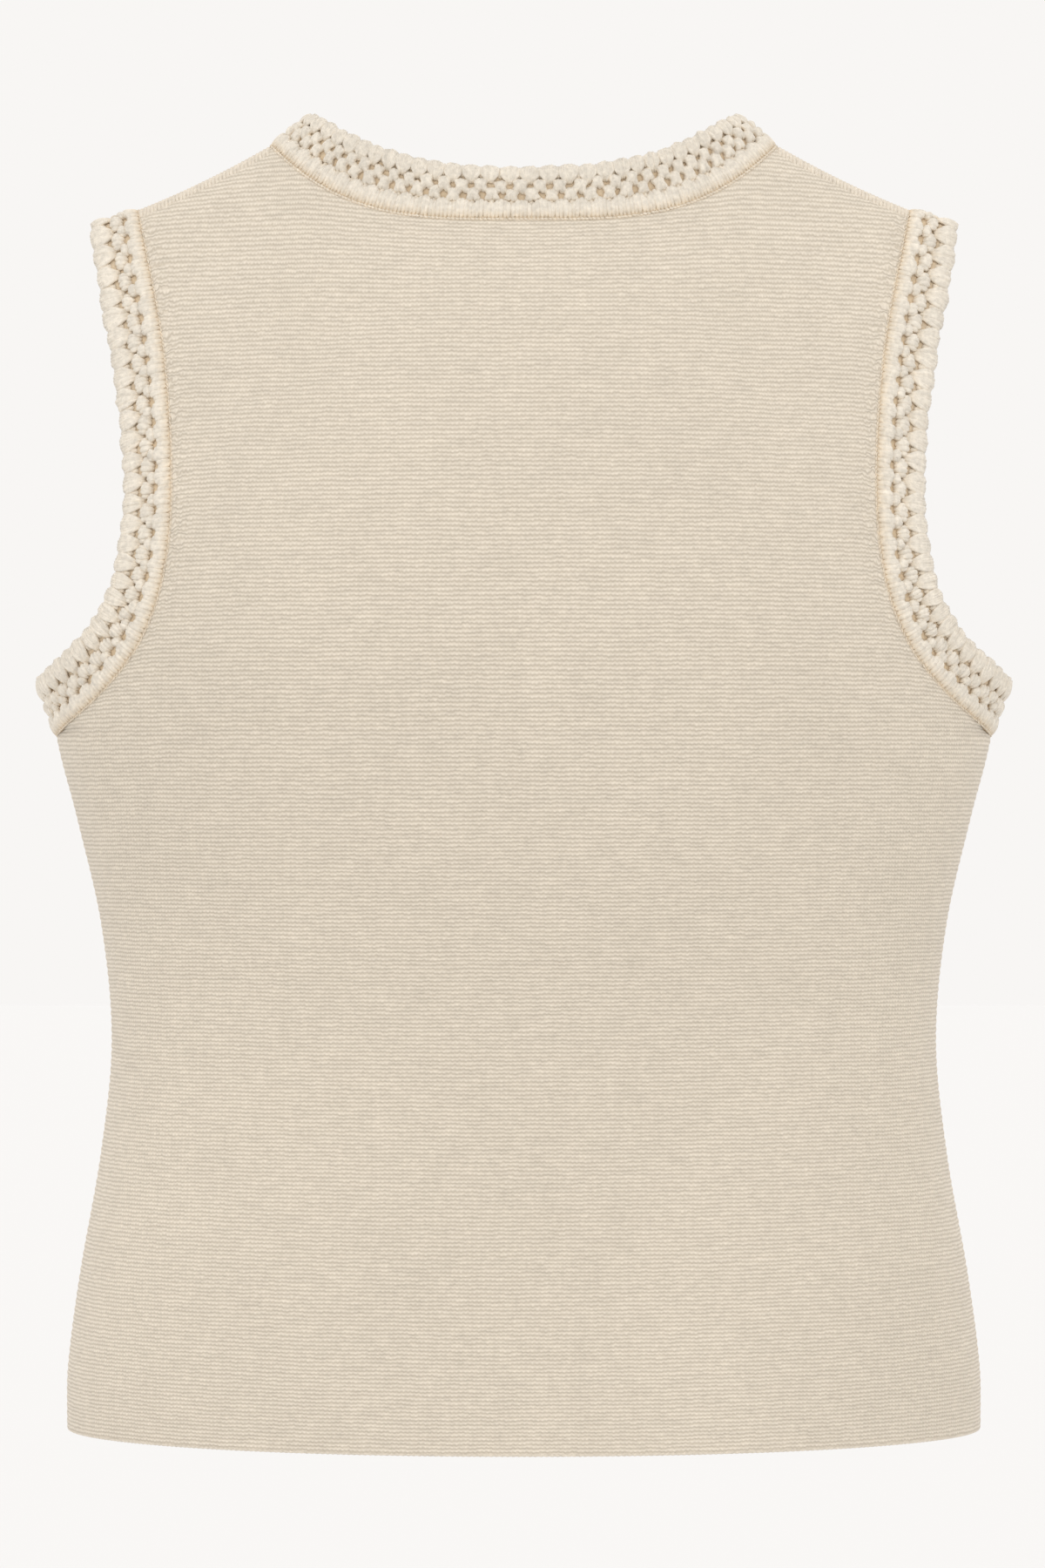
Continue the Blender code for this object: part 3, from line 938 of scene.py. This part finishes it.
def band_frames(edges, stitches, band, share_of):
    """Evenly spaced frames round the edge that the back's and then the front's points make."""
    normals = [outward(panel, edge) for panel, edge in zip((BACK, FRONT), edges)]
    count = stitches * FRAMES_PER_STITCH
    point, normal = evenly_round(count, np.concatenate(edges), np.concatenate(normals))
    tangent = unit(smoothed_round(heading(point)))
    normal = smoothed_round(unit(normal))
    normal = unit(normal - tangent * np.sum(normal * tangent, axis=-1, keepdims=True))
    width, flare = (along(band, column, share_of(point))[:, None] for column in ("width", "flare"))
    return BandFrames(point, np.cross(tangent, normal), normal, width, np.radians(flare))


def up_armhole(point):
    """How far up the armhole each point is, as a share."""
    return (point[:, 2] - UNDERARM_Z) / ARMHOLE_HEIGHT


def round_neck(point):
    """How near to a shoulder seam each point of the neck is, as a share."""
    return (point[:, 0] / NECK_HALF) ** 2


def armhole_frames():
    """The right armhole's edge from the underarm up the back and down the front."""
    rises = np.sin(math.pi / 2 * np.arange(ARMHOLE_SAMPLES + 1) / ARMHOLE_SAMPLES)
    edges = [yoke_point(panel, np.ones_like(rises), rises)[::order] for panel, order in BOTH_WAYS]
    return band_frames(edges, ARMHOLE_STITCHES, ARMHOLE_BAND, up_armhole)


def neck_frames():
    """The neck's edge from the right shoulder across the back and round the front."""
    shares = NECK_SHARE * np.sin(math.pi / 2 * np.linspace(1, -1, NECK_SAMPLES + 1))
    edges = [yoke_point(panel, shares[::order], np.ones_like(shares))[:-1] for panel, order in BOTH_WAYS]
    return band_frames(edges, NECK_STITCHES, NECK_BAND, round_neck)


def flare_at(flare, reach):
    """How far a band has turned at a share of its width: fastest at the seam, its flare on average."""
    return 1.5 * flare * (1 - (1 - reach) ** 2)


def on_band(frames, stitch, across, height):
    """Points of a band: stitches along it, and mm away from the seam and out of its surface."""
    count = len(frames.point)
    at = stitch * FRAMES_PER_STITCH
    low = np.floor(at).astype(int)
    share = (at - low)[:, None]
    low, high = low % count, (low + 1) % count
    point, away, normal, width, flare = (each[low] * (1 - share) + each[high] * share for each in frames)
    reach = (across / BAND_REACH)[:, None]
    point = point + away * SEAM_GAP
    for step in range(FLARE_STEPS):
        turn = flare_at(flare, reach * (step + 0.5) / FLARE_STEPS)
        point = point + (away * np.cos(turn) + normal * np.sin(turn)) * (width * reach / FLARE_STEPS)
    turn = flare_at(flare, reach)
    return point + (normal * np.cos(turn) - away * np.sin(turn)) * (height * MM)[:, None]


def strands_round(frames, stitches, rows, seed, looseness, mirrored):
    """The strands of every stitch round a band, each row's a little out of true as handwork is."""
    strands = [strand for row in rows for strand in row.strands]
    template = stitch_mesh(strands)
    in_stitch = len(template.vertices)
    number = read(template.attributes["number"].data, "value")
    row_of_strand = np.repeat(np.arange(len(rows)), [len(row.strands) for row in rows])
    in_row = row_of_strand[number]
    own = coordinates(template)[:, :2] / MM
    centres = np.array([own[in_row == k].mean(axis=0) for k in range(len(rows))])
    mesh = arrayed(template, stitches)
    places = coordinates(mesh) / MM
    stitch = np.arange(len(places)) // in_stitch
    in_row = np.tile(in_row, stitches)
    strand = stitch * len(strands) + np.tile(number, stitches)
    centre_x, centre_y = centres[in_row].T
    draw = np.random.default_rng(seed)
    sway = draw.normal(0, looseness, (stitches, len(rows), 6))[stitch, in_row]
    turn = np.array([row.turn for row in rows])[in_row] * sway[:, 0]
    sway = sway * np.array([row.sway for row in rows])[in_row][:, None]
    jitter = draw.normal(0, looseness, (stitches * len(strands), 4))[strand]
    right = places[:, 0] - stitch * STITCH - centre_x
    up = places[:, 1] - centre_y
    size = 1 + SIZE_STRAY * sway[:, 1]
    along_mm = stitch * STITCH + centre_x + size * (right * np.cos(turn) - up * np.sin(turn))
    along_band = along_mm / STITCH + ALONG_STRAY.stitch * sway[:, 2] + ALONG_STRAY.strand * jitter[:, 0]
    across = centre_y + size * (up * np.cos(turn) + right * np.sin(turn))
    free = np.clip(places[:, 1] / FREE_FROM, 0, 1)
    across = across + (AWAY_STRAY.stitch * sway[:, 3] + AWAY_STRAY.strand * jitter[:, 1]) * free
    height = places[:, 2] * (1 + HEIGHT_STRAY.stitch * sway[:, 4]) + HEIGHT_STRAY.strand * jitter[:, 2]
    points = on_band(frames, along_band, across, height)
    if mirrored:
        points[:, 0] *= -1
    else:
        mesh.flip_normals()
    set_coordinates(mesh, points)
    # painted shade: the height that colours the yarn, lowered near the seam and raised at the band's edge
    lowered = height - SEAM_SHADE * np.clip(1 - across / SEAM_SHADE_REACH, 0, 1)
    set_attribute(mesh, "height", np.maximum(lowered, EDGE_LIGHT * (across - EDGE_LIGHT_START)))
    set_attribute(mesh, "tone", 1 + TONE_STRAY.strand * jitter[:, 3] + TONE_STRAY.stitch * sway[:, 5])
    return mesh


def backing_ring(frames, stitches, mirrored):
    """A closed ring under a band's strands, ridged inside row by row as the strands' backs are."""
    places = np.arange(stitches * BACKING_COLUMNS) / BACKING_COLUMNS
    over = 0.5 + 0.5 * np.cos(math.tau * places)
    heights = [line.over_stitch * over + line.between * (1 - over) for line in BACKING]
    sections = []
    for line, height in zip(BACKING, heights):
        sections.append(on_band(frames, places, np.full_like(places, line.across), height))
    points = np.stack(sections, axis=1)
    if mirrored:
        points[..., 0] *= -1
    return ring_mesh(points, height=np.stack(heights, axis=1))


def shoulder_place(x, across, out):
    """Points of the shoulder at x, as far across its fold to the front as asked, and out of the cloth."""
    downs = np.linspace(0, FOLD_DROP, FOLD_SAMPLES)
    middle = np.full_like(downs, (NECK_HALF + SHOULDER_HALF) / 2)
    profile = surface(BACK, middle, shoulder_height(middle) - downs, 0)
    z = shoulder_height(x) - np.interp(np.abs(across), travelled(profile), downs) - 1e-6
    sides = []
    for panel in (BACK, FRONT):
        point = surface(panel, x, z, 0)
        sides.append(point + outward(panel, point) * out[:, None])
    return np.where((across < 0)[:, None], *sides)


def side_place(z, across, out, step=1e-4):
    """Points of the right side seam at height z, to the front of it and out of the cloth."""
    half = along(RINGS, "half_width", z)
    rise = (along(RINGS, "half_width", z + step) - along(RINGS, "half_width", z - step)) / (2 * step)
    normal = unit(np.stack([np.ones_like(z), np.zeros_like(z), -rise], axis=-1))
    return np.stack([half, across, z], axis=-1) + normal * out[:, None]


def seam_mesh(strand, starts, placed):
    """One strand repeated at each start along a seam, on both sides of the vest."""
    template = stitch_mesh([strand])
    in_strand = len(template.vertices)
    mesh = arrayed(template, len(starts))
    places = coordinates(mesh)
    link = np.arange(len(places)) // in_strand
    run = starts[link] + places[:, 0] - link * STITCH * MM
    set_coordinates(mesh, placed(run, places[:, 1], places[:, 2]))
    with editing(mesh) as bm:
        other = bmesh.ops.duplicate(bm, geom=bm.verts[:] + bm.edges[:] + bm.faces[:])["geom"]
        other_verts = [part for part in other if isinstance(part, bmesh.types.BMVert)]
        bmesh.ops.scale(bm, verts=other_verts, vec=(-1, 1, 1))
        bmesh.ops.recalc_face_normals(bm, faces=bm.faces)
    set_attribute(mesh, "height", np.zeros(len(mesh.vertices)))
    set_attribute(mesh, "tone", np.ones(len(mesh.vertices)))
    return mesh


def hem_mesh():
    """The cast-on edge: a thin round cord with a bead for each cast-on loop."""
    half = np.sin(math.pi / 2 * np.linspace(1, -1, HEM_SAMPLES + 1))
    loops = [body_point(panel, half[::order], np.full_like(half, HEM_Z))[:-1] for panel, order in BOTH_WAYS]
    centre = evenly_round(HEM_PLACES, np.concatenate(loops))[0]
    up = np.array((0.0, 0.0, 1.0))
    out = np.cross(heading(centre), up)
    out = unit(out * np.sign(np.sum(out * centre, axis=-1, keepdims=True)))
    centre = centre - out * KNIT_WALL / 2
    turn = (math.tau * np.arange(HEM_SIDES) / HEM_SIDES)[:, None]
    bead = HEM_RADIUS * np.resize(HEM_BEADS, HEM_PLACES)[:, None, None]
    points = centre[:, None] + bead * (np.cos(turn) * out[:, None] + np.sin(turn) * up)
    even = np.ones(points.shape[:2])
    return ring_mesh(points, height=0 * even, tone=even)


class VestSettings(bpy.types.PropertyGroup):
    """Sizes and colours of the vest that a user would change."""

    course: bpy.props.FloatProperty(
        name="Course", description="Height of one knitted row", default=0.00165, min=0.0005, unit="LENGTH"
    )
    wale: bpy.props.FloatProperty(
        name="Wale", description="Width of one knitted stitch", default=0.0016, min=0.0005, unit="LENGTH"
    )
    fullness: bpy.props.FloatProperty(
        name="Creases", description="How deep the cloth's soft creases are", default=1.0, min=0.0, max=3.0
    )
    looseness: bpy.props.FloatProperty(
        name="Looseness", description="How far crochet strands stray", default=1.0, min=0.0, max=3.0
    )
    knit_light: bpy.props.FloatVectorProperty(
        name="Knit", description="Colour of the tops of the knitted loops",
        default=(0.785, 0.708, 0.598), subtype="COLOR", min=0, max=1,
    )
    knit_shade: bpy.props.FloatVectorProperty(
        name="Knit shade", description="Colour between the knitted rows",
        default=(0.570, 0.500, 0.402), subtype="COLOR", min=0, max=1,
    )
    yarn_light: bpy.props.FloatVectorProperty(
        name="Yarn", description="Colour of the crochet where it stands proud",
        default=(0.764, 0.703, 0.608), subtype="COLOR", min=0, max=1,
    )
    # yarn_shade is painted shade, for the crochet deep in its holes
    yarn_shade: bpy.props.FloatVectorProperty(
        name="Yarn shade", description="Colour of the crochet deep in its holes",
        default=(0.700, 0.545, 0.355), subtype="COLOR", min=0, max=1,
    )
    backdrop: bpy.props.FloatVectorProperty(
        name="Backdrop", description="Colour of the light and of the floor as lit",
        default=(0.939, 0.922, 0.905), subtype="COLOR", min=0, max=1,
    )


class VEST_OT_panels(bpy.types.Operator):
    """Models the back and front panels of fine knit with their soft creases"""

    bl_idname = "vest.panels"
    bl_label = "Knit panels"

    def execute(self, context):
        vest = context.scene.vest
        material = knit_material(vest)
        for panel in (BACK, FRONT):
            points = panel_points(panel)
            rows, columns = points.shape[0] - 1, points.shape[1] - 1
            mesh, column, row = grid_mesh(columns, rows, flipped=panel.facing > 0)
            shaped = creased(panel, points, vest.fullness)
            set_coordinates(mesh, shaped[row, column])
            along_course, up = knit_coordinates(panel, points)
            set_uv(mesh, "knit", np.stack([along_course, up], axis=-1)[row, column])
            set_attribute(mesh, "crinkle", crinkled_edge(panel, points)[row, column])
            obj = piece_of_mesh(panel.node + "_knit", mesh, material)
            wall = obj.modifiers.new("Cloth", "SOLIDIFY")
            wall.thickness = KNIT_WALL
            wall.offset = -1
            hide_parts(panel.node)
        return {"FINISHED"}


class VEST_OT_neck_band(bpy.types.Operator):
    """Crochets the band round the neck"""

    bl_idname = "vest.neck_band"
    bl_label = "Neck band"

    def execute(self, context):
        make_crochet_band(
            context.scene.vest, "neck_band", neck_frames(), NECK_STITCHES, neck_rows(), NECK_CHAIN,
            seed=11, mirrored=False,
        )
        return {"FINISHED"}


class VEST_OT_armhole_bands(bpy.types.Operator):
    """Crochets the bands round the two armholes"""

    bl_idname = "vest.armhole_bands"
    bl_label = "Armhole bands"

    def execute(self, context):
        frames = armhole_frames()
        for side, seed in (("right", 23), ("left", 37)):
            make_crochet_band(
                context.scene.vest, "armhole_band_" + side, frames, ARMHOLE_STITCHES, armhole_rows(),
                ARMHOLE_CHAIN, seed, mirrored=side == "left",
            )
        return {"FINISHED"}


def make_crochet_band(vest, node, frames, stitches, rows, chain, seed, mirrored):
    """A band's backing with its strands on it and the chain of light links in the groove at its seam."""
    yarn, cord, inside = crochet_materials(vest)
    backing = piece_of_mesh(node + "_backing", backing_ring(frames, stitches, mirrored), inside)
    pieces = []
    for suffix, kinds, material in (("_strands", rows, yarn), ("_chain", [chain_row(chain)], cord)):
        mesh = strands_round(frames, stitches, kinds, seed + len(pieces), vest.looseness, mirrored)
        piece = piece_of_mesh(node + suffix, mesh, material)
        pieces.append(piece)
    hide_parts(node)


class VEST_OT_seams(bpy.types.Operator):
    """Sews the shoulder and side seams and knits the cast-on edge of the hem"""

    bl_idname = "vest.seams"
    bl_label = "Seams and hem"

    def execute(self, context):
        vest = context.scene.vest
        light, shade = vest.knit_light, vest.knit_shade
        yarn = yarn_material("seam_yarn", light, shade, low=-1.2, high=0.6, turns=1.0, ridges=1)
        shoulder = np.linspace(NECK_HALF + SHOULDER_MARGIN, SHOULDER_HALF - SHOULDER_MARGIN, SHOULDER_TICKS)
        side = np.linspace(HEM_Z + SIDE_MARGIN, UNDERARM_Z - SIDE_MARGIN, SIDE_LINKS)
        for name, mesh in (
            ("shoulder_seams", seam_mesh(SHOULDER_TICK, shoulder, shoulder_place)),
            ("side_seams", seam_mesh(SIDE_LINK, side, side_place)),
            ("hem_edge", hem_mesh()),
        ):
            piece = piece_of_mesh(name, mesh, yarn)
        return {"FINISHED"}


class VEST_OT_stage(bpy.types.Operator):
    """Sets the floor, the soft light and the camera"""

    bl_idname = "vest.stage"
    bl_label = "Stage"

    def execute(self, context):
        scene = context.scene
        floor_light = 0.0
        for lamp in LAMPS:
            sun = bpy.data.lights.new(lamp.name, "SUN")
            sun.energy = lamp.strength
            sun.angle = math.radians(lamp.spread)
            elevation = math.radians(lamp.elevation)
            turned = (math.pi / 2 - elevation, 0, math.radians(lamp.azimuth))
            new_object(lamp.name, sun).rotation_euler = turned
            floor_light += lamp.strength * math.sin(elevation) / math.pi
        scene.world = bpy.data.worlds.new("studio")
        scene.world.use_nodes = True
        background = scene.world.node_tree.nodes["Background"]
        background.inputs["Color"].default_value = rgba(scene.vest.backdrop)
        mesh = bpy.data.meshes.new("studio_floor")
        with editing(mesh) as bm:
            bmesh.ops.create_grid(bm, x_segments=1, y_segments=1, size=FLOOR_HALF)
            bmesh.ops.translate(bm, verts=bm.verts, vec=(0, 0, FLOOR_Z))
        matt = tuple(value / (value + floor_light) for value in scene.vest.backdrop)
        mesh.materials.append(NodeBook("studio_floor").finish(rgba(matt), roughness=1.0, specular=0.0))
        floor = new_object("studio_floor", mesh)
        camera = bpy.data.cameras.new("camera")
        camera.sensor_fit = "AUTO"
        camera.sensor_width = CAMERA_SENSOR
        camera.lens = CAMERA_LENS
        camera.clip_end = CAMERA_REACH
        scene.camera = new_object("camera", camera)
        scene.camera.location = CAMERA_PLACE
        scene.camera.rotation_euler = (math.pi / 2, 0, 0)
        scene.view_settings.view_transform = "Standard"
        return {"FINISHED"}


class VEST_PT_sidebar(bpy.types.Panel):
    """Lists the vest's sizes, colours and pieces"""

    bl_idname = "VEST_PT_sidebar"
    bl_label = "Knitted vest"
    bl_space_type = "VIEW_3D"
    bl_region_type = "UI"
    bl_category = "Vest"

    def draw(self, context):
        for name in VestSettings.__annotations__:
            self.layout.prop(context.scene.vest, name)
        for operator in OPERATORS:
            self.layout.operator(operator.bl_idname)


OPERATORS = (VEST_OT_panels, VEST_OT_neck_band, VEST_OT_armhole_bands, VEST_OT_seams, VEST_OT_stage)
CLASSES = (VestSettings, *OPERATORS, VEST_PT_sidebar)


def register():
    for cls in CLASSES:
        bpy.utils.register_class(cls)
    bpy.types.Scene.vest = bpy.props.PointerProperty(type=VestSettings)


def unregister():
    del bpy.types.Scene.vest
    for cls in reversed(CLASSES):
        bpy.utils.unregister_class(cls)


def main():
    register()
    bpy.ops.vest.panels()
    bpy.ops.vest.neck_band()
    bpy.ops.vest.armhole_bands()
    bpy.ops.vest.seams()
    bpy.ops.vest.stage()


if __name__ == "__main__":
    main()
